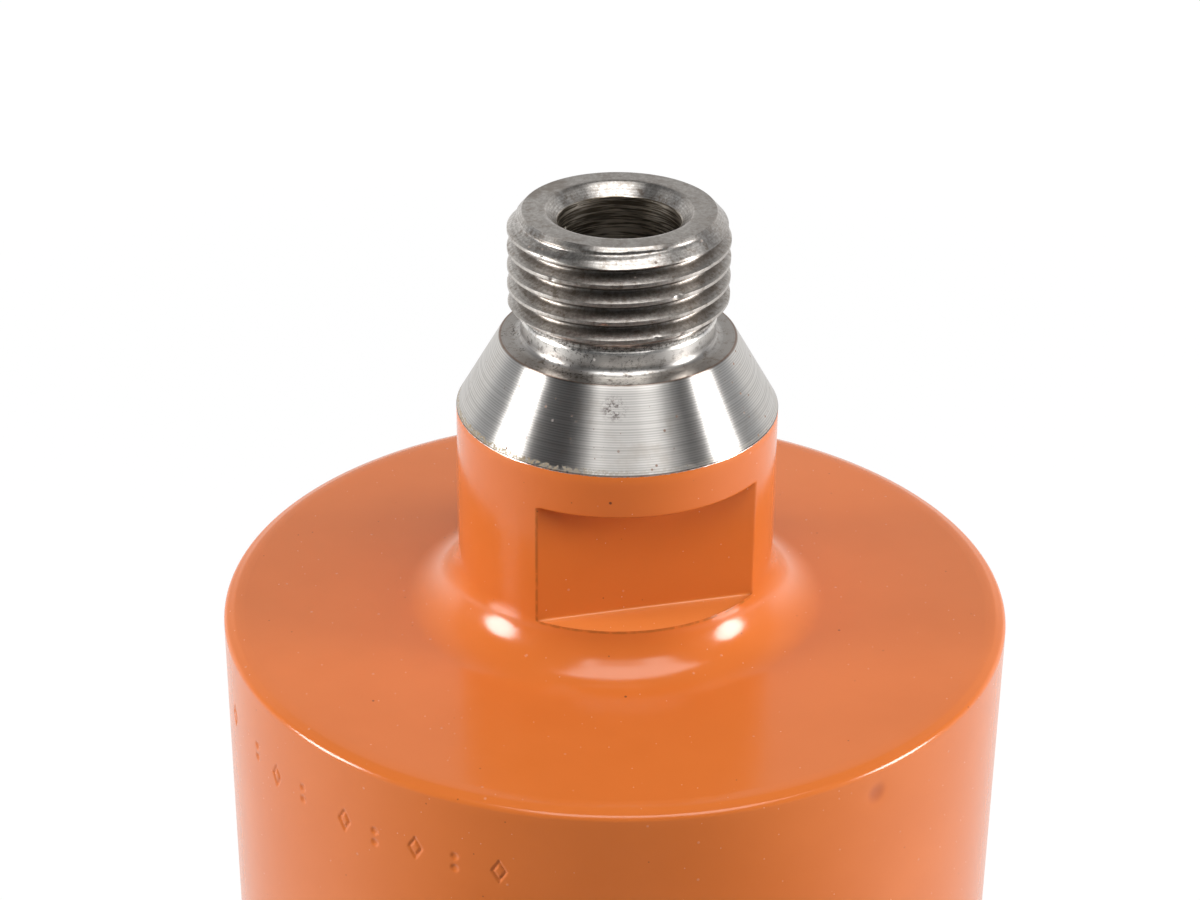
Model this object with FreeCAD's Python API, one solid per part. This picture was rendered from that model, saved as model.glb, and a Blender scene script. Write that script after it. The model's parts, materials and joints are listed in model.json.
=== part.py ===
import FreeCAD, Part
import math
import os

from FreeCAD import Vector

# A hole saw for masonry, of the core-bit kind. It stands upright on its cutting segments.
# Lengths are millimetres and angles are degrees. The origin lies on the axis at the cutting
# rim, +Z points up to the connector, and -Y is the front.

# Barrel
barrel_diameter = 76.1
barrel_wall = 2.0
working_depth = 150.0  # from the cutting rim to the underside of the end disc
rim_rounding = 1.1  # outer top edge, ground round
rim_land = 0.2  # flat that the rounding leaves at least on the tube's end

# Cutting segments
segment_count = 8
segment_length = 24.0  # along the arc at the middle of the tube's wall
segment_height = 10.0
segment_stand_out = 1.0  # proud of the tube's outer face
segment_stand_in = 1.0  # proud of the tube's inner face
segment_groove_width = 1.0  # starting groove along the cutting face
segment_groove_depth = 0.8

# End disc, which closes the barrel
disc_thickness = 8.0
disc_clearance = 0.05  # between the disc's edge and the tube's bore
disc_lead_in = 1.0  # bevel that guides the disc into the tube

# Collar with two wrench flats
collar_radius = 15.2
collar_height = 20.7  # from the disc's top to the foot of the cone
collar_fillet = 5.2
across_flats = 22.0
flat_rise = 4.4  # from the disc's top to the lower shelf of a flat
flat_width = 12.0
flat_turn = 15.2  # the front flat's normal, turned from -Y towards +X

# Cone and ledge
cone_height = 7.1
ledge_radius = 11.15

# Threaded connector, G 1/2, drawn over its crests, a little under the nominal 20.955
thread_diameter = 20.76
connector_height = 12.55  # from the ledge to the end face
undercut_radius = 9.0
undercut_width = 2.8
undercut_fillet = 0.8
undercut_bevel = 1.1  # height of the bevel from the undercut to the crests
face_radius = 8.95
face_bevel = 1.6  # height of the bevel from the crests to the end face

# Water bore
water_bore_radius = 5.7
countersink_radius = 6.8
countersink_depth = 1.05

# Heights and radii that follow from the sizes above
barrel_radius = barrel_diameter / 2
barrel_bore = barrel_radius - barrel_wall
wall_middle = barrel_radius - barrel_wall / 2
thread_radius = thread_diameter / 2
disc_top = working_depth + disc_thickness
cone_foot = disc_top + collar_height
ledge_top = cone_foot + cone_height
undercut_top = ledge_top + undercut_width
thread_start = undercut_top + undercut_bevel
end_face = ledge_top + connector_height
thread_end = end_face - face_bevel

AXIS = Vector(0, 0, 1)
CENTRE = Vector(0, 0, 0)
FULL_TURN = 360.0


def at(radius, height):
    """Point of a half section: distance from the axis and height."""
    return Vector(radius, 0, height)


def arc(centre_radius, centre_height, radius, start, end):
    """Arc of a half section, from one angle to the other."""

    def on_arc(angle):
        turn = math.radians(angle)
        return at(centre_radius + radius * math.cos(turn), centre_height + radius * math.sin(turn))

    return Part.Arc(on_arc(start), on_arc((start + end) / 2), on_arc(end)).toShape()


def inner_fillet(wall_radius, floor_height, radius):
    """Hollow fillet from a level floor, in, to an upright wall."""
    return arc(wall_radius + radius, floor_height + radius, radius, 270, 180)


def outer_rounding(wall_radius, top_height, radius):
    """Round edge from an upright wall, over, to a level top."""
    return arc(wall_radius - radius, top_height - radius, radius, 0, 90)


def lines(*points):
    """Straight edges through the points."""
    return [Part.LineSegment(a, b).toShape() for a, b in zip(points, points[1:])]


def turned(edges, angle=FULL_TURN):
    """Solid swept about the axis by a closed half section."""
    section = Part.Face(Part.Wire(edges))
    return section.revolve(CENTRE, AXIS, angle)


def ends(edge):
    """First and last point of an edge, in its drawn direction."""
    return edge.valueAt(edge.FirstParameter), edge.valueAt(edge.LastParameter)


def adapter_blank():
    """Disc, collar, cone, undercut and threaded stub, bored through, as one turned piece."""
    disc_radius = barrel_bore - disc_clearance
    collar_arc = inner_fillet(collar_radius, disc_top, collar_fillet)
    neck_arc = inner_fillet(undercut_radius, ledge_top, undercut_fillet)
    collar_foot, collar_start = ends(collar_arc)
    neck_foot, neck_start = ends(neck_arc)

    disc_edges = lines(
        at(water_bore_radius, working_depth),
        at(disc_radius - disc_lead_in, working_depth),
        at(disc_radius, working_depth + disc_lead_in),
        at(disc_radius, disc_top),
        collar_foot,
    )
    cone_edges = lines(
        collar_start,
        at(collar_radius, cone_foot),
        at(ledge_radius, ledge_top),
        neck_foot,
    )
    stub_edges = lines(
        neck_start,
        at(undercut_radius, undercut_top),
        at(thread_radius, thread_start),
        at(thread_radius, thread_end),
        at(face_radius, end_face),
        at(countersink_radius, end_face),
        at(water_bore_radius, end_face - countersink_depth),
        at(water_bore_radius, working_depth),
    )
    return turned(disc_edges + [collar_arc] + cone_edges + [neck_arc] + stub_edges)


def wrench_slot(turn):
    """Block that mills one flat into the collar, its normal turned from -Y towards +X."""
    reach = 2 * collar_radius
    block = Part.makeBox(
        2 * reach,
        reach,
        flat_width,
        Vector(-reach, -across_flats / 2 - reach, disc_top + flat_rise),
    )
    block.rotate(CENTRE, AXIS, turn)
    return block


def adapter():
    """Turned adapter with its two opposite wrench flats."""
    slots = [wrench_slot(flat_turn), wrench_slot(flat_turn + FULL_TURN / 2)]
    return adapter_blank().cut(slots)


def barrel():
    """Steel tube from the segments to the top of the disc, rounded at its outer top edge."""
    rim = outer_rounding(barrel_radius, disc_top, min(rim_rounding, barrel_wall - rim_land))
    rim_start, rim_end = ends(rim)
    wall = lines(
        rim_end,
        at(barrel_bore, disc_top),
        at(barrel_bore, segment_height),
        at(barrel_radius, segment_height),
        rim_start,
    )
    return turned(wall + [rim])


def cutting_segment(number):
    """One abrasive block on the tube's end, with a starting groove in its cutting face."""
    outside = barrel_radius + segment_stand_out
    inside = barrel_bore - segment_stand_in
    groove_half = segment_groove_width / 2
    section = lines(
        at(inside, segment_height),
        at(inside, 0),
        at(wall_middle - groove_half, 0),
        at(wall_middle, segment_groove_depth),
        at(wall_middle + groove_half, 0),
        at(outside, 0),
        at(outside, segment_height),
        at(inside, segment_height),
    )
    span = math.degrees(segment_length / wall_middle)
    block = turned(section, span)
    block.rotate(CENTRE, AXIS, number * FULL_TURN / segment_count - span / 2)
    return block


def all_parts():
    """Every node of the hole saw by name."""
    parts = {"adapter": adapter(), "barrel": barrel()}
    for number in range(segment_count):
        parts[f"cutting_segment_{number + 1}"] = cutting_segment(number)
    return parts


os.makedirs("parts", exist_ok=True)
for name, shape in all_parts().items():
    shape.exportStep(f"parts/{name}.step")
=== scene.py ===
import json
import math

import bmesh
import bpy
import numpy as np
from mathutils import Matrix, Vector, noise


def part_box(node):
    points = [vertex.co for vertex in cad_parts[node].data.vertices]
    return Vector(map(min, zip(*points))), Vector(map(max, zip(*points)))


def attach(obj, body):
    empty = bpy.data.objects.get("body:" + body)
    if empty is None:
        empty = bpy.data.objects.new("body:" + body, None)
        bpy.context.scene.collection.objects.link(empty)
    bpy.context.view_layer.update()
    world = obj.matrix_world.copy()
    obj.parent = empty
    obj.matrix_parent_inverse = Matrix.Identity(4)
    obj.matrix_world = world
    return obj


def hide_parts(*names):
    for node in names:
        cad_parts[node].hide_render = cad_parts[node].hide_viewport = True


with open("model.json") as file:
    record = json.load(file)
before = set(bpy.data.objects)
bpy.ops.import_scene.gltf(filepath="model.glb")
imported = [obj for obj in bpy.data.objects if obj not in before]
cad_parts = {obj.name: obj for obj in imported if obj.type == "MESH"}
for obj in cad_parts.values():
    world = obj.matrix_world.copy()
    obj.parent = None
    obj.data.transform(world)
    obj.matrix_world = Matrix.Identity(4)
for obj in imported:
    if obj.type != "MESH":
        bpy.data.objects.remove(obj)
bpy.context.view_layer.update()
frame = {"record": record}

# The hole saw stands on its segments, with its axis on Z and the front on -Y.
# Shapes are worked out in millimetres and turned into metres when their mesh is made.
# An azimuth is counted in degrees from the front, towards +X.
MM = 0.001
merge_distance = 2e-7  # in metres

mounts = {mount["name"]: mount for mount in frame["record"]["mounts"]}


def box_mm(node):
    """Lowest and highest corner of a node of the frame, in millimetres."""
    low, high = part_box(node)
    return np.array(low) / MM, np.array(high) / MM


# Sizes taken from the frame
adapter_low, adapter_high = box_mm("adapter")
barrel_low, barrel_high = box_mm("barrel")
segment_low, segment_high = box_mm("cutting_segment_1")
disc_bottom = adapter_low[2]
end_face = adapter_high[2]
disc_radius = adapter_high[0]
disc_top = barrel_high[2]
barrel_bottom = barrel_low[2]
barrel_radius = barrel_high[0]
segment_outside = segment_high[0]
thread_radius = mounts["threaded_connector"]["dims"]["r_mm"]
thread_start = mounts["threaded_connector"]["pos_m"][2] / MM
thread_end = thread_start + mounts["threaded_connector"]["dims"]["length_mm"]
water_bore_radius = mounts["water_bore"]["dims"]["r_mm"]
flat_x, flat_y, flat_middle = (value / MM for value in mounts["wrench_flat_front"]["pos_m"])
flat_distance = math.hypot(flat_x, flat_y)
flat_azimuth = math.degrees(math.atan2(flat_x, -flat_y))
flat_normal = (flat_x / flat_distance, flat_y / flat_distance, 0.0)
flat_tangent = (-flat_normal[1], flat_normal[0], 0.0)

# Sizes of the frame's solids that no box or mount gives
barrel_wall = 2.0
disc_lead_in = 1.0
collar_radius = 15.2
collar_fillet = 5.2
collar_height = 20.7
flat_width = 12.0
cone_height = 7.1
ledge_radius = 11.15
undercut_radius = 9.0
undercut_fillet = 0.8
undercut_width = 2.8
face_radius = 8.95
countersink_radius = 6.8
countersink_depth = 1.05
rim_fall = 0.04  # of the tube's end, from the seam to the ground bevel
rim_bevel_width = 1.05
rim_bevel_slope = 20.0
rim_edge_radius = 0.6
segment_count = 8
segment_length = 24.0
segment_groove_width = 1.0
segment_groove_depth = 0.8

# Heights and radii that follow
barrel_bore = barrel_radius - barrel_wall
wall_middle = barrel_radius - barrel_wall / 2
segment_inside = barrel_bore - (segment_outside - barrel_radius)
cone_foot = disc_top + collar_height
ledge_top = cone_foot + cone_height
shelf_height = flat_middle - flat_width / 2
ceiling_height = flat_middle + flat_width / 2
flat_reach = math.sqrt(collar_radius**2 - flat_distance**2)

# Whitworth thread G 1/2, right-handed
thread_pitch = 1.814
thread_rounding = 0.1373 * thread_pitch
thread_depth = 0.6403 * thread_pitch
thread_half_angle = math.radians(27.5)
thread_crest_rise = 9.8  # from the ledge to a crest at azimuth 90, on the +X side

# Camera, fitted to the photograph of 1200 x 900 pixels
photo_width = 1200
photo_focal_length = 2800.8  # pixels
camera_distance = 236.99  # from the axis, on the front side
camera_height = 296.96
camera_pitch = 27.52
camera_yaw = -0.384
camera_roll = 0.516
sensor_width = 36.0


def lerp(a, b, t):
    """Point at share t of the way from a to b."""
    return a + (b - a) * t


def smoothstep(value, low, high):
    """Soft step of arrays from 0 at low to 1 at high."""
    t = np.clip((value - low) / (high - low), 0, 1)
    return t * t * (3 - 2 * t)


def arc_points(centre_radius, centre_height, radius, start, end, steps):
    """Points of a half section (radius, height) along an arc, both ends included."""
    turns = np.radians(np.linspace(start, end, steps + 1))
    return np.stack([centre_radius + radius * np.cos(turns), centre_height + radius * np.sin(turns)], 1)


def line_points(start, end, steps):
    """Points of a half section along a straight line, both ends included."""
    share = np.linspace(0, 1, steps + 1)[:, None]
    return lerp(np.array(start, float), np.array(end, float), share)


def bend_points(before, corner, after, steps=4):
    """Points of a corner rounded between two places beside it, for arrays of columns."""
    t = np.linspace(0, 1, steps + 1)[:, None, None]
    return (1 - t) ** 2 * before + 2 * t * (1 - t) * corner + t**2 * after


def direction(azimuth, elevation):
    """Unit vector towards an azimuth and elevation in degrees."""
    turn, rise = math.radians(azimuth), math.radians(elevation)
    return Vector((math.sin(turn) * math.cos(rise), -math.cos(turn) * math.cos(rise), math.sin(rise)))


def to_space(azimuths, radii, heights):
    """Row frame points of cylinder coordinates."""
    turns = np.radians(azimuths)
    return np.stack([radii * np.sin(turns), -radii * np.cos(turns), heights + 0 * radii], -1)


def ring_faces(columns, lower, upper, shift=0):
    """Quads between two rings of points, whose last quad may end some points further on."""
    faces = []
    for column in range(columns):
        following = (column + 1) % columns
        step = shift if following == 0 else 0
        faces.append((lower + column, lower + following + step, upper + following + step, upper + column))
    return faces


def new_object(name, data):
    """Object in the scene that holds a mesh, a lamp or a camera."""
    made = bpy.data.objects.new(name, data)
    bpy.context.scene.collection.objects.link(made)
    return made


def new_piece(name, points, faces, smooth_angle):
    """Object of one mesh, from points in millimetres, with coinciding points joined."""
    mesh = bpy.data.meshes.new(name)
    mesh.from_pydata((np.asarray(points) * MM).tolist(), [], faces)
    work = bmesh.new()
    work.from_mesh(mesh)
    bmesh.ops.remove_doubles(work, verts=work.verts, dist=merge_distance)
    bmesh.ops.dissolve_degenerate(work, edges=work.edges, dist=merge_distance)
    bmesh.ops.recalc_face_normals(work, faces=work.faces)
    work.to_mesh(mesh)
    work.free()
    mesh.shade_smooth()
    mesh.set_sharp_from_angle(angle=math.radians(smooth_angle))
    piece = new_object(name, mesh)
    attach(piece, "root")
    return piece


def closed_lathe(name, azimuths, rows):
    """Ring-shaped piece whose rows (radius and height for each column) close on themselves."""
    columns = len(azimuths)
    points = np.concatenate([to_space(azimuths, row[:, 0], row[:, 1]) for row in rows])
    faces = []
    for number in range(len(rows)):
        following = (number + 1) % len(rows)
        faces += ring_faces(columns, number * columns, following * columns)
    return new_piece(name, points, faces, smooth_angle=50.0)


def plain_rows(section, columns):
    """The points of a half section, each repeated for every column."""
    return [np.tile(point, (columns, 1)) for point in section]


def level_noise(points, scale, seed):
    """Smooth noise from -1 to 1 at each point, in millimetres, with features of that scale."""
    shift = Vector((seed * 17.3, seed * 5.1, seed * 9.7))
    return np.array([noise.noise(Vector(point) / scale + shift) for point in points])


# Threaded end of the adapter

thread_columns = 440
rows_per_pitch = 18
thread_low = ledge_top + 2.45  # the neck is plain below this height
neck_step_low = ledge_top + 2.05  # low step around the neck, under the thread
neck_step_high = ledge_top + 2.35
run_in_height = 0.9  # from the undercut to the full crests
run_in_bend = (0.25, 9.55)  # height and radius where the run-in flattens
turned_edge = 0.12  # width of the broken edges
crest_wear = 0.05

# Dents that handling left in the crests
nick_count = 46
nick_widths = (0.12, 0.45)
nick_depths = (0.03, 0.14)
nick_stretch = 1.1  # height to width
nick_seed = 11


def thread_form(distance):
    """Depth below the crest at an axial distance from it, for a rounded 55 degree form."""
    along = np.abs((distance / thread_pitch + 0.5) % 1 - 0.5) * thread_pitch
    tangent = thread_rounding * math.cos(thread_half_angle)
    drop = thread_rounding * (1 - math.sin(thread_half_angle))
    crest = thread_rounding - np.sqrt(np.maximum(thread_rounding**2 - along**2, 0))
    flank = drop + (along - tangent) / math.tan(thread_half_angle)
    beyond = thread_pitch / 2 - along
    root = thread_depth - thread_rounding + np.sqrt(np.maximum(thread_rounding**2 - beyond**2, 0))
    return np.where(along < tangent, crest, np.where(beyond < tangent, root, flank))


def thread_envelope(height):
    """Radius of the turned blank that the thread is cut into."""
    foot = ledge_top + undercut_width
    bend_height, bend_radius = run_in_bend
    rises = [foot, foot + bend_height, foot + run_in_height]
    run_in = np.interp(height, rises, [undercut_radius, bend_radius, thread_radius])
    chamfer = np.interp(height, [thread_end, end_face], [thread_radius, face_radius])
    return np.minimum(run_in, chamfer)


def thread_nicks(azimuths, heights):
    """Depth of the dents that handling left in the crests."""
    random = np.random.default_rng(nick_seed)
    depth = np.zeros_like(azimuths)
    for _ in range(nick_count):
        azimuth = random.uniform(0, 360)
        height = random.uniform(thread_start, thread_end)
        width, deep = random.uniform(*nick_widths), random.uniform(*nick_depths)
        away = np.radians((azimuths - azimuth + 180) % 360 - 180) * thread_radius
        along = (heights - height) / (width * nick_stretch)
        depth += deep * np.exp(-((away / width) ** 2) - along**2)
    return depth


def thread_surface(azimuths, heights):
    """Radius of the threaded surface at azimuths and heights."""
    crest = ledge_top + thread_crest_rise + thread_pitch * (azimuths - 90) / 360
    cut = thread_radius - thread_form(heights - crest)
    cut = np.maximum(cut, undercut_radius)
    worn = np.minimum(cut, thread_radius - crest_wear - thread_nicks(azimuths, heights))
    return np.minimum(worn, thread_envelope(heights))


def thread_grid():
    """Points and faces of the thread. Its rows climb with the helix, so that crests stay sharp."""
    azimuths = np.arange(thread_columns) * 360 / thread_columns
    turns = (end_face - thread_low) / thread_pitch
    row_count = rows_per_pitch + math.ceil(turns * rows_per_pitch) + 1
    points, faces = [], []
    for number in range(row_count):
        rise = thread_pitch * (number / rows_per_pitch - 1 + azimuths / 360)
        heights = np.clip(thread_low + rise, thread_low, end_face)
        points.append(to_space(azimuths, thread_surface(azimuths, heights), heights))
    for number in range(row_count - 1):
        lower = number * thread_columns
        shift = rows_per_pitch * thread_columns
        quads = ring_faces(thread_columns, lower, lower + thread_columns, shift)
        if number + 1 + rows_per_pitch >= row_count:
            quads.pop()
        faces += quads
    return np.concatenate(points), faces


def turned_end_section():
    """Half section of the threaded end, from the end face through the bore and over cone and neck."""
    bore_mouth = end_face - countersink_depth
    edge = turned_edge
    fillet_centre = (undercut_radius + undercut_fillet, ledge_top + undercut_fillet)
    return np.concatenate(
        [
            line_points((face_radius, end_face), (face_radius - 0.02, end_face), 1),
            line_points((face_radius - 0.08, end_face), (countersink_radius + edge, end_face), 6),
            line_points((countersink_radius, end_face - edge / 2), (water_bore_radius + edge, bore_mouth), 4),
            line_points((water_bore_radius, bore_mouth - edge), (water_bore_radius, cone_foot), 10),
            line_points((water_bore_radius + 1, cone_foot), (collar_radius - 0.05, cone_foot), 3),
            line_points((collar_radius, cone_foot), (ledge_radius + edge / 2, ledge_top - edge), 16),
            line_points((ledge_radius - edge / 2, ledge_top), (fillet_centre[0] + 0.02, ledge_top), 3),
            arc_points(*fillet_centre, undercut_fillet, 270, 180, 8),
            line_points((undercut_radius, ledge_top + 0.9), (undercut_radius, neck_step_low - 0.1), 4),
            line_points((undercut_radius + 0.2, neck_step_low), (undercut_radius + 0.07, neck_step_high), 2),
            line_points((undercut_radius, neck_step_high + 0.04), (undercut_radius, thread_low), 1),
        ]
    )


def threaded_end():
    """Bare turned part of the adapter: stub, neck, ledge and cone, with the water bore."""
    points, faces = thread_grid()
    azimuths = np.arange(thread_columns) * 360 / thread_columns
    section = turned_end_section()
    first = len(points)
    rings = [to_space(azimuths, row[:, 0], row[:, 1]) for row in plain_rows(section, thread_columns)]
    for number in range(len(rings) - 1):
        lower = first + number * thread_columns
        faces += ring_faces(thread_columns, lower, lower + thread_columns)
    points = np.concatenate([points] + rings)
    return new_piece("adapter_threaded_end", points, faces, smooth_angle=38.0)


# Painted part of the adapter

edge_softness = 0.14  # of the upright edges of the flats
outer_edge = 0.22  # rounding of the level edges of the slots
inner_corner = 0.4  # rounding in their corners
depth_share = 0.45  # of a slot's depth, the most that one of these takes where the slot runs out
column_step = 0.75
edge_columns = np.arange(42.6, 45.8, 0.16)  # around an upright edge, from the flat's middle


def collar_columns():
    """Azimuths of the columns, closer together at the upright edges of the flats."""
    azimuths = list(np.arange(0, 360, column_step))
    for turn in (0, 180):
        for side in (-1, 1):
            azimuths += list(flat_azimuth + turn + side * edge_columns)
    return np.unique(np.round(np.array(azimuths) % 360, 4))


def fillet_radius(height):
    """Radius of the collar and its fillet at a height."""
    below = np.clip(disc_top + collar_fillet - height, 0, collar_fillet)
    return collar_radius + collar_fillet - np.sqrt(collar_fillet**2 - below**2)


def flat_depth(azimuths, radius):
    """How deep the flats cut into a radius, with soft upright edges."""
    depth = np.zeros_like(azimuths)
    for turn in (0, 180):
        away = np.radians((azimuths - flat_azimuth - turn + 180) % 360 - 180)
        extra = radius - flat_distance / np.maximum(np.cos(away), 0.1)
        soft = (extra + edge_softness) ** 2 / (4 * edge_softness)
        cut = np.where(extra > edge_softness, extra, np.where(extra < -edge_softness, 0, soft))
        depth = np.maximum(depth, cut)
    return depth


def column_points(radii, heights):
    """Radius and height of every column, as one row."""
    return np.stack([radii, heights + 0 * radii], 1)


def slot_edge(azimuths, height, upward):
    """Rows over a level face of the slot: outer edge, level face and inner corner."""
    outside = np.full_like(azimuths, fillet_radius(height))
    depth = flat_depth(azimuths, outside)
    inside = outside - depth
    edge = np.minimum(outer_edge, depth_share * depth)
    corner = np.minimum(inner_corner, depth_share * depth)
    away = -upward
    below = column_points(fillet_radius(height + away * edge), height + away * edge)
    rows = list(bend_points(below, column_points(outside, height), column_points(outside - edge, height)))
    rows += [lerp(rows[-1], column_points(inside + corner, height), share) for share in (0.33, 0.67)]
    rows += list(
        bend_points(
            column_points(inside + corner, height),
            column_points(inside, height),
            column_points(inside, height + upward * corner),
        )
    )
    return rows


def slot_rows(azimuths):
    """Rows from the shelf of the slots up their flats to the overhang."""
    shelf = slot_edge(azimuths, shelf_height, 1)
    overhang = slot_edge(azimuths, ceiling_height, -1)[::-1]
    foot, head = shelf[-1][:, 1], overhang[0][:, 1]
    middle = []
    for share in np.concatenate([np.linspace(0.02, 0.14, 6), np.linspace(0.2, 0.95, 8)]):
        heights = lerp(foot, head, share)
        radii = fillet_radius(heights)
        middle.append(column_points(radii - flat_depth(azimuths, radii), heights))
    return shelf + middle + overhang


def painted_hub():
    """Painted part of the adapter: disc, fillet and collar with its two wrench flats."""
    azimuths = collar_columns()
    columns = len(azimuths)
    centre = disc_top + collar_fillet
    shelf_turn = 180 + math.degrees(math.asin((centre - shelf_height - outer_edge) / collar_fillet))
    lower = np.concatenate(
        [
            line_points((water_bore_radius, disc_bottom), (disc_radius - disc_lead_in, disc_bottom), 6),
            line_points((disc_radius, disc_bottom + disc_lead_in), (disc_radius, disc_top - 0.5), 3),
            line_points((barrel_bore, disc_top), (collar_radius + collar_fillet + 0.1, disc_top), 12),
            arc_points(collar_radius + collar_fillet, centre, collar_fillet, 270, shelf_turn + 1, 26),
        ]
    )
    upper = np.concatenate(
        [
            line_points((collar_radius, ceiling_height + 0.4), (collar_radius, cone_foot - 0.1), 4),
            line_points((collar_radius - 0.06, cone_foot), (water_bore_radius + 1, cone_foot), 2),
            line_points((water_bore_radius, cone_foot), (water_bore_radius, disc_bottom + 1), 10),
        ]
    )
    rows = plain_rows(lower, columns) + slot_rows(azimuths) + plain_rows(upper, columns)
    return closed_lathe("adapter_hub", azimuths, rows)


# Barrel

mark_height = disc_top - 7.0  # middle of the row of punched marks
mark_depth = 0.13
mark_sway = 0.25  # how far the marks stray from their row
diamond_half_width = 0.6
diamond_half_height = 0.95
dot_radius = 0.48
dot_offset = 0.62  # of a pair's two dots, up and down
mark_azimuths = (-71.0, -60.5, -54.5, -47.8, -39.2, -33.8, -27.2, -21.3, -15.0)
dent_azimuth = 38.2
dent_height = disc_top - 3.0
dent_radius = 1.0
dent_depth = 0.1

# Heights of the tube's rows, which are close together from the marks up to the dent
plain_high = disc_top - 12.0
close_low = disc_top - 8.8
close_high = disc_top - 1.5
close_step = 0.14

# Unevenness of the hand-ground bevel: waves round the rim, their turn and height
rim_waves = ((3, 0.4, 0.016), (7, 2.0, 0.012), (13, 0.0, 0.008))
rim_wave_offset = 0.012
rim_margin = 0.15  # at the outside, which the waves leave alone
seam_step = (-0.08, 0.005)  # from the bevel to the seam round the disc


def barrel_columns():
    """Azimuths of the columns, closer together where the marks are."""
    fine = np.arange(-75, -11, 0.16)
    medium = np.arange(-11, 45, 0.5)
    coarse = np.arange(45, 285, 0.9)
    return np.concatenate([fine, medium, coarse])


def mark_cut(azimuths, heights):
    """Depth of the punched marks, diamonds and pairs of dots in turn, and of one shallow dent."""
    depth = np.zeros_like(heights)
    for number, azimuth in enumerate(mark_azimuths):
        across = np.abs(np.radians(azimuths - azimuth)) * barrel_radius
        middle = mark_height + mark_sway * math.sin(number * 2.3)
        along = np.abs(heights - middle)
        if number % 2 == 0:
            line = np.abs(across / diamond_half_width + along / diamond_half_height - 1)
            depth = np.maximum(depth, mark_depth * smoothstep(-line, -0.42, -0.1))
        else:
            reach = np.hypot(across, along - dot_offset) / dot_radius
            depth = np.maximum(depth, mark_depth * smoothstep(-reach, -1.0, -0.35))
    across = np.radians(azimuths - dent_azimuth) * barrel_radius
    reach = np.hypot(across, heights - dent_height) / dent_radius
    return depth + dent_depth * np.exp(-(reach**2))


def rim_section():
    """Half section of the ground rim, from the upright wall to the level end of the tube."""
    turn = 90 - rim_bevel_slope
    reach = rim_edge_radius * (1 - math.cos(math.radians(turn)))
    rise = rim_edge_radius * math.sin(math.radians(turn))
    drop = (rim_bevel_width - reach) * math.tan(math.radians(rim_bevel_slope))
    start = np.array([barrel_radius - rim_bevel_width, disc_top - rim_fall])
    centre = (barrel_radius - rim_edge_radius, start[1] - drop - rise)
    edge = arc_points(*centre, rim_edge_radius, 0, turn, 9)
    bevel = line_points(edge[-1], start, 6)[1:-1]
    return np.concatenate([edge, bevel, [start + seam_step]])


def barrel_rows(azimuths):
    """Rows of the tube: up the outside, over the ground rim and down the bore."""
    columns = len(azimuths)
    rim = rim_section()
    plain = np.linspace(barrel_bottom, plain_high, 14)
    close = np.arange(close_low, close_high, close_step)
    rows = []
    for height in [*plain, *close, rim[0, 1] - 0.15]:
        level = np.full(columns, height)
        rows.append(column_points(barrel_radius - mark_cut(azimuths, level), level))
    turns = np.radians(azimuths)
    uneven = sum(deep * np.sin(count * turns + turn) for count, turn, deep in rim_waves)
    for radius, height in rim[:-1]:
        share = (barrel_radius - rim_margin - radius) / (rim_bevel_width - rim_margin)
        lower = (uneven + rim_wave_offset) * 0.5 * np.clip(1 - abs(2 * share - 1), 0, 1)
        rows.append(column_points(np.full(columns, radius), height - lower))
    rows.append(np.tile(rim[-1], (columns, 1)))
    inner = np.concatenate(
        [
            line_points((barrel_bore + 0.4, disc_top - 0.02), (barrel_bore + 0.1, disc_top - 0.003), 1),
            line_points((barrel_bore, disc_top), (barrel_bore, disc_bottom), 3),
            line_points((barrel_bore, disc_bottom - 10), (barrel_bore, barrel_bottom), 8),
        ]
    )
    return rows + plain_rows(inner, columns)


def barrel():
    """Painted tube with its ground rim and punched marks."""
    azimuths = barrel_columns()
    return closed_lathe("barrel_tube", azimuths, barrel_rows(azimuths))


# Cutting segments

segment_wear = 0.35  # rounding of the corners
segment_row_step = 0.45
segment_roughness = 0.05


def segment_section():
    """Outline of a segment across the wall, with worn corners and a starting groove."""
    worn, top = segment_wear, barrel_bottom
    groove = segment_groove_width / 2
    tall = round((top - worn) / segment_row_step)
    return np.concatenate(
        [
            line_points((segment_inside, top), (segment_inside, worn), tall)[:-1],
            arc_points(segment_inside + worn, worn, worn, 180, 270, 3)[:-1],
            line_points((segment_inside + worn, 0), (wall_middle - groove, 0), 3)[:-1],
            line_points((wall_middle - groove, 0), (wall_middle, segment_groove_depth), 3)[:-1],
            line_points((wall_middle, segment_groove_depth), (wall_middle + groove, 0), 3)[:-1],
            line_points((wall_middle + groove, 0), (segment_outside - worn, 0), 3)[:-1],
            arc_points(segment_outside - worn, worn, worn, 270, 360, 3)[:-1],
            line_points((segment_outside, worn), (segment_outside, top), tall)[:-1],
            line_points((segment_outside, top), (segment_inside, top), 8)[:-1],
        ]
    )


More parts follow.
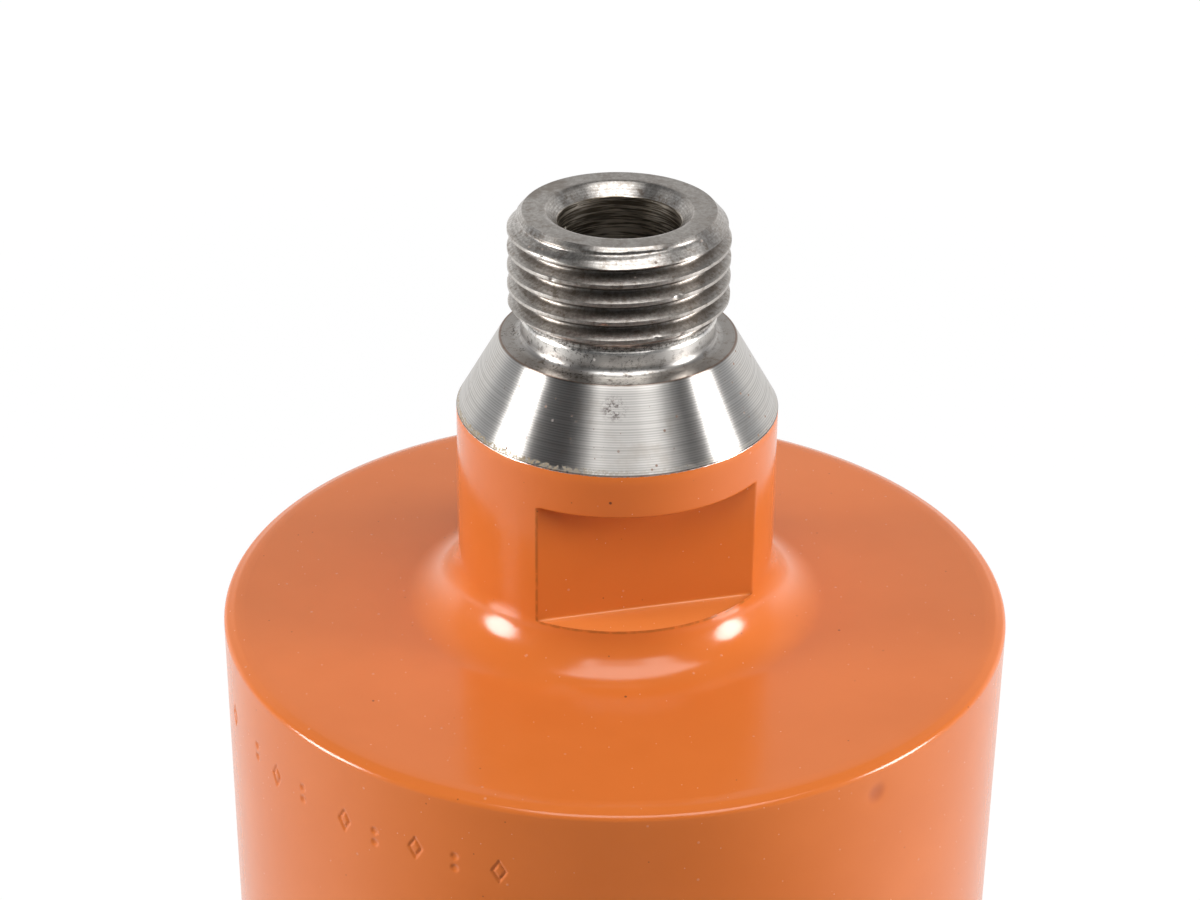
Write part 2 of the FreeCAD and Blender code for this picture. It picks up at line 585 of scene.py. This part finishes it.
def cutting_segment(number):
    """Sintered segment with a rough surface, on the tube's end."""
    section = segment_section()
    middle = np.array([wall_middle, barrel_bottom / 2])
    span = math.degrees(segment_length / wall_middle)
    centre = 90 - number * 360 / segment_count
    slices = [(-0.5, share) for share in (0.02, 0.35, 0.65, 0.9)]
    slices += [(place, 1.0) for place in np.linspace(-0.5, 0.5, 58)]
    slices += [(0.5, share) for share in (0.9, 0.65, 0.35, 0.02)]
    rings = []
    for place, share in slices:
        outline = lerp(middle, section, share)
        azimuths = np.full(len(outline), centre + place * span)
        rings.append(to_space(azimuths, outline[:, 0], outline[:, 1]))
    points = np.concatenate(rings)
    rough = level_noise(points, 0.5, number) + level_noise(points, 1.4, number + 20) - 1
    lean = points - np.mean(points, axis=0)
    lean /= np.linalg.norm(lean, axis=1)[:, None]
    points = points + lean * segment_roughness * np.minimum(rough, 0)[:, None]
    count = len(section)
    faces = []
    for ring in range(len(rings) - 1):
        faces += ring_faces(count, ring * count, (ring + 1) * count)
    faces += [tuple(range(count)), tuple(range(len(points) - count, len(points)))]
    return new_piece(f"segment_{number + 1}", points, faces, smooth_angle=60.0)


# Materials


class Shader:
    """Node tree of a material or world, with short calls that add nodes and link them."""

    def __init__(self, owner):
        owner.use_nodes = True
        self.tree = owner.node_tree
        self.tree.nodes.clear()

    def add(self, kind, inputs=None, **settings):
        """New shader node, with its settings and its inputs, which are values or other nodes' outputs."""
        made = self.tree.nodes.new("ShaderNode" + kind)
        for name, value in settings.items():
            setattr(made, name, value)
        for name, value in (inputs or {}).items():
            self.feed(made.inputs[name], value)
        return made

    def feed(self, socket, value):
        """Links an output to a socket, or sets the socket's value."""
        if isinstance(value, bpy.types.NodeSocket):
            self.tree.links.new(value, socket)
        else:
            socket.default_value = value

    def math(self, operation, *values, clamp=False):
        """Result of a Math node."""
        made = self.add("Math", operation=operation, use_clamp=clamp)
        for socket, value in zip(made.inputs, values):
            self.feed(socket, value)
        return made.outputs[0]

    def measure(self, operation, *vectors):
        """Number that a Vector Math node makes: a length, a distance or a dot product."""
        made = self.add("VectorMath", dict(enumerate(vectors)), operation=operation)
        return made.outputs["Value"]

    def times(self, product, *values):
        """Product of all the values."""
        for value in values:
            product = self.math("MULTIPLY", product, value)
        return product

    def largest(self, result, *values):
        """Largest of all the values."""
        for value in values:
            result = self.math("MAXIMUM", result, value)
        return result

    def plus(self, value, other, share):
        """A value with a share of another added to it."""
        return self.math("MULTIPLY_ADD", other, share, value)

    def step(self, value, low, high, start=0.0, end=1.0):
        """Smooth step of a value, from start at low to end at high."""
        made = self.add(
            "MapRange",
            {"Value": value, "From Min": low, "From Max": high, "To Min": start, "To Max": end},
            interpolation_type="SMOOTHSTEP",
        )
        return made.outputs["Result"]

    def near(self, value, level, outer, inner):
        """Mask that is 1 within an inner distance of a level and 0 beyond an outer one."""
        away = self.math("ABSOLUTE", self.math("SUBTRACT", value, level))
        return self.step(away, outer, inner)

    def mix(self, factor, first, second):
        """Colour between two colours."""
        made = self.add("Mix", data_type="RGBA")
        for name, value in (("Factor_Float", factor), ("A_Color", first), ("B_Color", second)):
            socket = next(item for item in made.inputs if item.identifier == name)
            self.feed(socket, value)
        return next(item for item in made.outputs if item.identifier == "Result_Color")

    def camera_rays(self):
        """Outputs of the light path, and a mask of the rays that come from the camera."""
        path = self.add("LightPath").outputs
        return path, self.math("ADD", path["Is Camera Ray"], path["Is Transmission Ray"], clamp=True)


class Skin(Shader):
    """Material of a piece. It knows each point's place in millimetres and its colour so far."""

    def __init__(self, name):
        self.material = bpy.data.materials.new(name)
        super().__init__(self.material)
        place = self.add("TexCoord").outputs["Object"]
        scaled = self.add("VectorMath", {0: place, "Scale": 1 / MM}, operation="SCALE")
        self.place = scaled.outputs[0]
        self.side, depth, self.height = self.add("SeparateXYZ", {0: self.place}).outputs
        square = self.math("ADD", self.times(self.side, self.side), self.times(depth, depth))
        self.radius = self.math("SQRT", square)
        self.colour = None

    def cover(self, tint, *masks, share=1.0):
        """Lays a share of a tint over the colour so far, where all the masks let it."""
        if share != 1.0:
            masks = (*masks, share)
        self.colour = self.mix(self.times(*masks), self.colour, tint)

    def noise(self, size, detail=2.0, roughness=0.5, place=None, stretch=None):
        """Noise from 0 to 1 with features of that size."""
        if place is None:
            place = self.place
        if stretch is not None:
            scaled = self.add("VectorMath", {0: place, 1: stretch}, operation="MULTIPLY")
            place = scaled.outputs[0]
        made = self.add(
            "TexNoise",
            {"Vector": place, "Scale": 1 / size, "Detail": detail, "Roughness": roughness},
        )
        return made.outputs[0]

    def patches(self, size, low, high, **options):
        """Mask of irregular patches: noise that is 0 at low and 1 at high."""
        return self.step(self.noise(size, **options), low, high)

    def specks(self, spacing, radius, share):
        """Mask of small spots, one in a share of the cells of that spacing."""
        cells = self.add("TexVoronoi", {"Vector": self.place, "Scale": 1 / spacing})
        spot = self.step(cells.outputs["Distance"], radius / spacing, radius / spacing * 0.5)
        chosen = self.add("SeparateColor", {0: cells.outputs["Color"]}).outputs[0]
        return self.times(spot, self.math("LESS_THAN", chosen, share))

    def spot(self, centre, radius, core):
        """Round mask about a place, full within its core."""
        return self.step(self.measure("DISTANCE", self.place, centre), radius, core)

    def ragged_edge(self, level, spread, upward=1):
        """Mask that is 1 above a level, or below it if upward is -1, with a ragged edge."""
        rag = self.math("MULTIPLY_ADD", self.noise(0.5, detail=3.0, roughness=0.7), 2 * spread, -spread)
        moved = self.plus(rag, self.height, upward)
        return self.step(moved, upward * level - rag_softness, upward * level + rag_softness)

    def bump(self, height, depth):
        """Normal disturbed by a height from 0 to 1, whose full depth is in millimetres."""
        return self.add(
            "Bump", {"Height": height, "Strength": 1.0, "Distance": depth * MM}
        ).outputs[0]

    def finish(self, inputs):
        """Material with a principled shader of these inputs."""
        shader = self.add("BsdfPrincipled", inputs)
        self.add("OutputMaterial", {"Surface": shader.outputs[0]})
        return self.material


# Colours of the paint
paint_colour = (0.635, 0.158, 0.030, 1)
paint_deep = (0.595, 0.143, 0.025, 1)
paint_light = (0.665, 0.170, 0.035, 1)
# painted light on the shelves of the slots
shelf_painted_light = (0.74, 0.25, 0.06, 1)
edge_line_colour = (0.3, 0.1, 0.02, 1)
dent_colour = (0.36, 0.07, 0.022, 1)
dust_colour = (0.78, 0.6, 0.47, 1)
dirt_colour = (0.035, 0.022, 0.014, 1)

# Colours of the steel
steel_colour = (0.68, 0.655, 0.625, 1)
steel_groove = (0.5, 0.48, 0.455, 1)
steel_smudge = (0.42, 0.36, 0.3, 1)
steel_band = (0.4, 0.38, 0.36, 1)
# painted highlight on the neck
steel_painted_highlight = (0.84, 0.81, 0.77, 1)
steel_crest = (0.62, 0.58, 0.53, 1)
steel_dull = (0.36, 0.33, 0.3, 1)
# painted shade on the sides of the ledge and on the far right of the thread
steel_painted_shade = (0.27, 0.25, 0.235, 1)
steel_grain = (0.17, 0.145, 0.125, 1)
steel_stain = (0.14, 0.1, 0.068, 1)
bore_dark = (0.17, 0.14, 0.105, 1)
bore_bright = (0.72, 0.65, 0.56, 1)
rust_colour = (0.2, 0.085, 0.035, 1)
old_dirt = (0.2, 0.165, 0.135, 1)
pale_dirt = (0.3, 0.24, 0.16, 1)
grime_colour = (0.12, 0.095, 0.075, 1)
blemish_colour = (0.09, 0.06, 0.055, 1)
paint_edge_colour = (0.07, 0.055, 0.05, 1)

# Colours of the segments
sintered_dark = (0.07, 0.066, 0.062, 1)
sintered_light = (0.2, 0.19, 0.175, 1)
grit_colour = (0.42, 0.4, 0.3, 1)

refraction = 1.5
turning_feed = 0.2  # between the lines that the lathe left
rag_softness = 0.04
paint_relief = 0.006  # depths of the bumps
steel_relief = 0.003
sintered_relief = 0.08
line_halves = (0.17, 0.06)  # half widths of a dark line, to its edge and to its full depth
blemish_place = (-0.3, -12.2, ledge_top - 1.8)

# Spots of dirt in the paint: place and radius
dirt_spots = (
    ((-0.5, -collar_radius, cone_foot - 2.7), 0.18),
    ((1.1, -19.4, disc_top + 0.1), 0.16),
    ((-22.0, -20.5, disc_top), 0.14),
    ((21.5, -7.0, disc_top), 0.14),
)


def paint_look(skin):
    """Lays gloss paint with dust in it, and returns its roughness and bump height."""
    fine = skin.noise(0.9, detail=4.0, roughness=0.65)
    cloud = skin.patches(14.0, 0.3, 0.7, detail=3.0)
    skin.colour = skin.mix(0.55, skin.mix(cloud, paint_deep, paint_light), paint_colour)
    dust = skin.specks(1.15, 0.07, 0.75)
    dirt = skin.specks(2.1, 0.1, 0.8)
    nibs = skin.specks(2.3, 0.17, 0.5)
    skin.cover(dust_colour, dust, share=0.35)
    skin.cover(dirt_colour, dirt, share=0.55)
    skin.cover(dust_colour, nibs, share=0.15)
    rough = skin.plus(skin.step(fine, 0.3, 0.7, 0.15, 0.2), dust, 0.3)
    relief = skin.plus(skin.noise(1.6, detail=1.0), fine, 0.25)
    relief = skin.plus(skin.plus(relief, dust, 1.5), nibs, 3.0)
    return rough, relief


def steel_look(skin):
    """Lays turned steel, and returns its roughness, bump height and rust mask."""
    along = skin.add("CombineXYZ", {0: skin.radius, 1: 0.0, 2: skin.height}).outputs[0]
    fine = skin.noise(0.15, detail=1.5, roughness=0.6, place=along)
    feed = skin.math("SINE", skin.times(skin.height, 2 * math.pi / turning_feed))
    grooves = skin.plus(skin.math("MULTIPLY_ADD", fine, 0.6, 0.2), feed, 0.12)
    bands = skin.patches(0.9, 0.55, 0.75, place=along)
    smudge = skin.patches(2.6, 0.52, 0.75, detail=4.0, roughness=0.65)
    skin.colour = skin.mix(skin.step(grooves, 0.36, 0.62), steel_groove, steel_colour)
    skin.cover(steel_smudge, smudge, share=0.3)
    skin.cover(steel_band, bands, share=0.15)
    spots = skin.math("ADD", skin.specks(1.3, 0.17, 0.8), skin.specks(0.7, 0.08, 0.6), clamp=True)
    rust = skin.times(spots, skin.patches(4.0, 0.42, 0.56))
    skin.cover(rust_colour, rust, share=0.8)
    rough = skin.plus(skin.step(grooves, 0.3, 0.7, 0.385, 0.345), rust, 0.3)
    return rough, grooves, rust


def painted_shelf_light(skin):
    """Painted light: paint coloured a little lighter on the shelves of the slots, as if more light fell
    there.
    """
    from_below = skin.step(skin.height, shelf_height - 0.12, shelf_height - 0.02)
    from_above = skin.step(skin.height, shelf_height + 0.3, shelf_height + 0.1)
    inside = skin.step(skin.radius, collar_radius - 0.05, collar_radius - 0.2)
    skin.cover(shelf_painted_light, from_below, from_above, inside, share=0.5)


def slot_lines(skin):
    """Thin dark lines where the slots cut through the collar's wall, level and down their left edge."""
    outward = skin.measure("DOT_PRODUCT", skin.place, flat_normal)
    cut_off = skin.step(skin.math("ABSOLUTE", outward), flat_distance + 0.1, flat_distance + 0.5)
    level = skin.largest(
        skin.near(skin.height, shelf_height, *line_halves),
        skin.near(skin.height, ceiling_height, *line_halves),
    )
    wall = skin.step(skin.radius, collar_radius - 0.14, collar_radius - 0.03)
    broken = skin.patches(0.8, 0.3, 0.6)
    skin.cover(edge_line_colour, level, wall, cut_off, broken, share=0.6)

    across = skin.measure("DOT_PRODUCT", skin.place, flat_tangent)
    upright = skin.near(skin.math("ABSOLUTE", across), flat_reach, 0.16, 0.05)
    left = skin.step(skin.times(across, outward), 0.0, -flat_distance)
    beside = skin.near(skin.height, flat_middle, flat_width / 2 + 0.05, flat_width / 2 - 0.1)
    broken = skin.patches(0.8, 0.25, 0.5)
    skin.cover(edge_line_colour, upright, left, beside, broken, share=0.55)


def paint_marks(skin):
    """Spots of dirt, and darker paint around the dent."""
    for centre, radius in dirt_spots:
        skin.cover(dirt_colour, skin.spot(centre, radius, 0.5 * radius), share=0.75)
    dent_place = direction(dent_azimuth, 0) * barrel_radius + Vector((0, 0, dent_height))
    skin.cover(dent_colour, skin.spot(dent_place, 1.35, 0.3), share=0.5)


def unpainted(skin):
    """Mask of the bare steel: the collar's end, the water bore and the tube's inside."""
    above = skin.ragged_edge(cone_foot - 0.06, 0.1)
    bore = skin.step(skin.radius, water_bore_radius + 0.4, water_bore_radius + 0.2)
    in_tube = skin.step(skin.radius, barrel_bore + 0.03, barrel_bore + 0.01)
    under_disc = skin.step(skin.height, disc_bottom, disc_bottom - 0.5)
    return skin.largest(above, bore, skin.times(in_tube, under_disc))


def painted_steel():
    """Gloss orange paint, which ends at the cone's foot, in the water bore and inside the tube."""
    skin = Skin("orange_paint")
    paint_rough, relief = paint_look(skin)
    # painted light on the shelves
    painted_shelf_light(skin)
    slot_lines(skin)
    paint_marks(skin)
    paint = skin.colour
    steel_rough, _, _ = steel_look(skin)
    bare = unpainted(skin)
    relief = skin.times(relief, skin.math("SUBTRACT", 1.0, bare))
    return skin.finish(
        {
            "Base Color": skin.mix(bare, paint, skin.colour),
            "Metallic": bare,
            "Roughness": skin.mix(bare, paint_rough, steel_rough),
            "IOR": refraction,
            "Normal": skin.bump(relief, paint_relief),
        }
    )


def neck_painted_light_and_shade(skin, neck):
    """Painted highlight on the wall of the neck, brightest at its front, and painted shade on the sides of
    the ledge below it.
    """
    from_front = skin.math("ABSOLUTE", skin.side)
    wall = skin.step(skin.height, ledge_top + 0.4, ledge_top + 1.2)
    bright = skin.largest(skin.step(from_front, 4.0, 1.5, 0.0, 0.6), skin.times(wall, 0.8))
    # painted highlight, strongest at the front
    skin.cover(steel_painted_highlight, neck, bright)
    sides = skin.step(from_front, 1.8, 4.0, 0.0, 0.65)
    ledge = skin.step(wall, 0.0, 1.0, 1.0, 0.15)
    # painted shade on the sides of the ledge
    skin.cover(steel_painted_shade, neck, sides, ledge)


def thread_wear_and_shade(skin, threaded):
    """Dull, grainy thread with brighter crests, and painted shade that makes it darkest on its far right."""
    far_right = skin.step(skin.side, 5.8, 8.0)
    grain = skin.patches(0.35, 0.6, 0.42, detail=4.0, roughness=0.75)
    crest = skin.step(skin.radius, thread_radius - 0.35, thread_radius - 0.1)
    # painted shade on the far right of the thread
    skin.cover(steel_painted_shade, threaded, far_right, share=0.5)
    skin.cover(steel_dull, threaded, share=0.3)
    skin.cover(steel_grain, grain, threaded, share=0.5)
    skin.cover(steel_crest, crest, threaded, share=0.4)


def end_face_wear(skin):
    """Dull end face with dirty patches, most of them on the left."""
    on_face = skin.step(skin.height, end_face - 0.5, end_face - 0.1)
    patches = skin.patches(3.4, 0.46, 0.64, detail=3.0, roughness=0.6)
    leftward = skin.step(skin.side, 6.0, -4.0, 0.2, 0.8)
    skin.cover(steel_dull, on_face, share=0.3)
    skin.cover(old_dirt, patches, on_face, leftward)


def thread_dirt(skin, threaded):
    """Dirt in the roots of the thread."""
    root = skin.step(skin.radius, thread_radius - 0.4, thread_radius - 0.95)
    outside = skin.step(skin.radius, undercut_radius - 0.2, undercut_radius - 0.02)
    below_face = skin.step(skin.height, end_face - 1.3, end_face - 1.7)
    skin.cover(grime_colour, threaded, root, outside, below_face, share=0.5)


def neck_dirt_and_shade(skin, above_cone):
    """Specks of dirt from the ledge to the first turn of the thread, most of them on the left, and painted
    shade just under the thread.
    """
    dotted = skin.noise(0.28, detail=3.0, roughness=0.7)
    # painted shade in a broken band just under the thread
    under_thread = skin.near(skin.height, thread_low + 0.15, 0.4, 0.1)
    painted_shade_under_thread = skin.times(under_thread, skin.step(dotted, 0.46, 0.56), 0.8)
    specks = skin.times(
        skin.step(dotted, 0.53, 0.62),
        skin.step(skin.side, 6.0, -6.0, 0.3, 1.0),
        skin.patches(2.2, 0.44, 0.56),
        above_cone,
        skin.step(skin.height, thread_low + 0.6, thread_low + 0.1),
    )
    skin.cover(dirt_colour, skin.largest(specks, painted_shade_under_thread), share=0.85)


def ledge_dirt(skin, above_cone):
    """Old dirt on the ledge, more of it at the sides, and rust along its rim."""
    on_ledge = skin.step(skin.radius, undercut_radius + 0.7, undercut_radius + 1.2)
    low = skin.step(skin.height, ledge_top + 0.3, ledge_top + 0.1)
    sideways = skin.step(skin.math("ABSOLUTE", skin.side), 2.5, 7.0, 0.1, 0.3)
    rim = skin.step(skin.radius, ledge_radius - 0.3, ledge_radius - 0.1)
    skin.cover(old_dirt, above_cone, on_ledge, low, sideways)
    skin.cover(rust_colour, rim, above_cone, share=0.55)


def blemish(skin):
    """Dark blemish at the front of the cone."""
    spoiled = skin.patches(0.4, 0.46, 0.6, detail=3.0, roughness=0.75)
    skin.cover(blemish_colour, spoiled, skin.spot(blemish_place, 1.5, 0.4), share=0.8)


def drilled_bore(skin):
    """Rough wall of the bore. Returns the relief that the drill left there."""
    bore = skin.step(skin.radius, water_bore_radius + 0.12, water_bore_radius + 0.03)
    rings = skin.noise(0.18, roughness=0.65, stretch=(0.05, 0.05, 1.0))
    wall = skin.mix(skin.step(rings, 0.43, 0.62), bore_dark, bore_bright)
    skin.cover(wall, bore)
    return skin.times(rings, 4.0, bore)


def cone_foot_dirt(skin):
    """Pale dirt and a dark line at the cone's foot. Returns the mask of that dirt."""
    dirt = skin.times(
        skin.ragged_edge(cone_foot + 0.42, 0.5, upward=-1),
        skin.step(skin.side, 3.0, -8.0, 0.25, 1.0),
        skin.patches(0.25, 0.36, 0.56, detail=3.0),
    )
    line = skin.step(skin.height, cone_foot + 0.13, cone_foot + 0.05)
    skin.cover(pale_dirt, dirt)
    skin.cover(paint_edge_colour, line, share=0.75)
    return dirt


def turned_steel(name, anisotropy):
    """Bare turned steel: a bright cone under a duller thread, dirty in its grooves and at the paint."""
    skin = Skin(name)
    rough, grooves, rust = steel_look(skin)
    above_cone = skin.step(skin.height, ledge_top - 0.12, ledge_top + 0.02)
    threaded = skin.step(skin.height, thread_low - 0.2, thread_low + 0.5)
    # painted highlight and painted shade on the neck and ledge
    neck_painted_light_and_shade(skin, skin.math("SUBTRACT", above_cone, threaded))
    thread_wear_and_shade(skin, threaded)
    stain = skin.patches(0.9, 0.5, 0.66, detail=5.0, roughness=0.75)
    skin.cover(steel_stain, stain, above_cone, share=0.6)
    end_face_wear(skin)
    thread_dirt(skin, threaded)
    # specks of dirt, and painted shade under the thread
    neck_dirt_and_shade(skin, above_cone)
    ledge_dirt(skin, above_cone)
    blemish(skin)
    bore_relief = drilled_bore(skin)
    foot_dirt = cone_foot_dirt(skin)
    steel = skin.colour
    paint_rough, _ = paint_look(skin)
    painted = skin.ragged_edge(cone_foot - 0.02, 0.1, upward=-1)
    rough = skin.plus(rough, above_cone, -0.03)
    coated = skin.largest(painted, foot_dirt, rust)
    return skin.finish(
        {
            "Base Color": skin.mix(painted, steel, skin.colour),
            "Metallic": skin.math("SUBTRACT", 1.0, coated),
            "Roughness": skin.mix(painted, rough, paint_rough),
            "IOR": refraction,
            "Anisotropic": anisotropy,
            "Anisotropic Rotation": 0.25,
            "Tangent": skin.add("Tangent", direction_type="RADIAL", axis="Z").outputs[0],
            "Normal": skin.bump(skin.math("ADD", grooves, bore_relief), steel_relief),
        }
    )


def sintered_metal():
    """Dark sintered metal with grit in it."""
    skin = Skin("abrasive_segment")
    grain = skin.noise(0.35, detail=4.0, roughness=0.7)
    grit = skin.specks(0.75, 0.18, 0.6)
    skin.colour = skin.mix(grain, sintered_dark, sintered_light)
    skin.cover(grime_colour, skin.patches(4.0, 0.4, 0.7), share=0.5)
    skin.cover(grit_colour, grit, share=0.8)
    return skin.finish(
        {
            "Base Color": skin.colour,
            "Metallic": 0.35,
            "Roughness": skin.step(grain, 0.3, 0.7, 0.75, 0.55),
            "Normal": skin.bump(skin.math("ADD", grain, grit), sintered_relief),
        }
    )


def dress(piece, material, slot, *nodes):
    """Gives a piece its material and hides the nodes of the frame that it stands for."""
    piece.data.materials.clear()
    piece.data.materials.append(material)
    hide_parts(*nodes)


def finish_above(piece, height, material):
    """Gives the faces of a piece above a height another finish."""
    piece.data.materials.append(material)
    for face in piece.data.polygons:
        if face.center.z > height * MM:
            face.material_index = 1


# Stage, in metres

white = (1, 1, 1, 1)
cool_white = (0.8, 0.88, 1.0, 1)
hub_centre = Vector((0, 0, 0.172))
panel_height = 1.0  # above the hub
floor_radius = 6.0
floor_seen = (0.85, 0.85, 0.85, 1)  # by the camera
# painted shade: the dark floor colour that the object mirrors in front of it
floor_mirrored_shade = (0.12, 0.12, 0.12, 1)  # in the object
floor_lit = (0.4, 0.4, 0.4, 1)  # for the light that it sends back

# Oval lamps: azimuth, elevation, distance from the hub, width, height, and radiance, 1 being white
softboxes = {
    "softbox_left": (-81, 12, 1.1, 0.46, 0.56, 14.6),
    "softbox_right": (81.5, 12, 1.1, 0.42, 0.56, 15.9),
}

# Level lamps overhead, with a gap for the camera: left, right, front and back edge, and radiance
panels = {
    "overhead": (-0.32, 0.66, -0.70, -0.13, 3.3),
    "overhead_left": (-0.37, -0.20, -1.10, -0.70, 3.3),
    "overhead_right": (0.36, 0.76, -1.10, -0.70, 3.25),
    "overhead_front": (-0.20, 0.36, -1.10, -0.70, 1.4),
}


def lamp(name, shape, width, height, energy):
    """Area lamp that the camera doesn't see."""
    data = bpy.data.lights.new(name, "AREA")
    data.shape = shape
    data.size = width
    data.size_y = height
    data.energy = energy
    holder = new_object(name, data)
    holder.visible_camera = False
    return holder


def softbox(name, azimuth, elevation, distance, width, height, radiance):
    """Oval lamp that faces the hub."""
    holder = lamp(name, "ELLIPSE", width, height, radiance * math.pi * width * height)
    towards = direction(azimuth, elevation)
    holder.location = hub_centre + towards * distance
    holder.rotation_mode = "QUATERNION"
    holder.rotation_quaternion = towards.to_track_quat("Z", "Y")


def panel(name, left, right, front, back, radiance):
    """Level lamp above the hub, which shines down."""
    width, depth = right - left, back - front
    holder = lamp(name, "RECTANGLE", width, depth, radiance * 4 * width * depth)
    holder.location = hub_centre + Vector(((left + right) / 2, (front + back) / 2, panel_height))


def lights():
    """Two strong softboxes at the sides and a broad weaker panel overhead."""
    for name, values in softboxes.items():
        softbox(name, *values)
    for name, values in panels.items():
        panel(name, *values)


def studio_world():
    """White room behind the object and a dim one in front. The camera sees plain white."""
    world = bpy.data.worlds.new("studio")
    bpy.context.scene.world = world
    shader = Shader(world)
    ray = shader.add("TexCoord").outputs["Generated"]
    _, forward, up = shader.add("SeparateXYZ", {0: ray}).outputs
    behind = shader.plus(shader.step(forward, 0.38, 0.62, 0, 0.73), shader.step(forward, 0.08, 0.3), 0.27)
    falling = shader.times(shader.step(up, 0.0, 0.55, 1.15, 0.6), shader.step(up, 0.95, 0.6))
    level = shader.math("ADD", shader.times(behind, falling), 0.05)
    tint = shader.mix(behind, cool_white, white)
    _, seen = shader.camera_rays()
    room = shader.add("Background", {"Color": tint, "Strength": level})
    plain = shader.add("Background", {"Color": white, "Strength": 1.0})
    mixed = shader.add("MixShader", {0: seen, 1: room.outputs[0], 2: plain.outputs[0]})
    shader.add("OutputWorld", {"Surface": mixed.outputs[0]})


def floor_material():
    """Pale matt floor under the object, which turns into plain white towards the distance.

    The camera sees the white, and so does the mirroring paint behind the object; in front it mirrors painted
    shade. Inside the tube only the lamps light it.
    """
    material = bpy.data.materials.new("floor")
    shader = Shader(material)
    path, seen = shader.camera_rays()
    place = shader.add("TexCoord").outputs["Object"]
    outward = shader.add("VectorMath", {0: place}, operation="NORMALIZE").outputs[0]
    backward = shader.add("SeparateXYZ", {0: outward}).outputs[1]
    mirrored = shader.times(path["Is Glossy Ray"], shader.step(backward, -0.98, -0.05))
    # painted shade on the floor, seen only in reflections
    pale = shader.mix(path["Is Glossy Ray"], floor_lit, floor_mirrored_shade)
    pale = shader.mix(path["Is Camera Ray"], pale, floor_seen)
    matt = shader.add("BsdfDiffuse", {"Color": pale})
    plain = shader.add("Emission", {"Color": white, "Strength": 1.03})
    distance = shader.measure("LENGTH", place)
    share = shader.times(
        shader.largest(seen, mirrored),
        shader.step(distance, 0.2, 0.8, 0.85, 1.0),
        shader.step(distance, barrel_bore * MM, segment_outside * 1.25 * MM),
    )
    mixed = shader.add("MixShader", {0: share, 1: matt.outputs[0], 2: plain.outputs[0]})
    shader.add("OutputMaterial", {"Surface": mixed.outputs[0]})
    return material


def floor():
    """Large level floor."""
    mesh = bpy.data.meshes.new("floor")
    work = bmesh.new()
    bmesh.ops.create_circle(work, cap_ends=True, segments=96, radius=floor_radius)
    work.to_mesh(mesh)
    work.free()
    piece = new_object("floor", mesh)
    piece.data.materials.append(floor_material())


def camera():
    """Camera at the photograph's place and angle."""
    pitch, yaw, roll = (math.radians(angle) for angle in (camera_pitch, camera_yaw, camera_roll))
    forward = Vector((math.sin(yaw) * math.cos(pitch), math.cos(yaw) * math.cos(pitch), -math.sin(pitch)))
    level = Vector((math.cos(yaw), -math.sin(yaw), 0))
    upright = level.cross(forward)
    right = level * math.cos(roll) + upright * math.sin(roll)
    up = upright * math.cos(roll) - level * math.sin(roll)
    data = bpy.data.cameras.new("camera")
    data.sensor_width = sensor_width
    data.lens = photo_focal_length / photo_width * sensor_width
    data.clip_start = 0.01
    data.clip_end = 50.0
    holder = new_object("camera", data)
    holder.rotation_mode = "QUATERNION"
    holder.rotation_quaternion = Matrix((right, up, -forward)).transposed().to_quaternion()
    holder.location = Vector((0, -camera_distance, camera_height)) * MM
    bpy.context.scene.camera = holder


def main():
    """Builds the pieces, their materials and the stage."""
    paint, abrasive = painted_steel(), sintered_metal()
    stub = threaded_end()
    dress(stub, turned_steel("turned_steel", 1.0), "turned_steel", "adapter")
    finish_above(stub, ledge_top - 0.05, turned_steel("handled_steel", 0.5))
    dress(painted_hub(), paint, "orange_paint", "adapter")
    dress(barrel(), paint, "orange_paint", "barrel")
    for number in range(segment_count):
        dress(cutting_segment(number), abrasive, "abrasive_segment", f"cutting_segment_{number + 1}")
    floor()
    lights()
    studio_world()
    camera()
    bpy.context.scene.view_settings.view_transform = "Standard"


main()
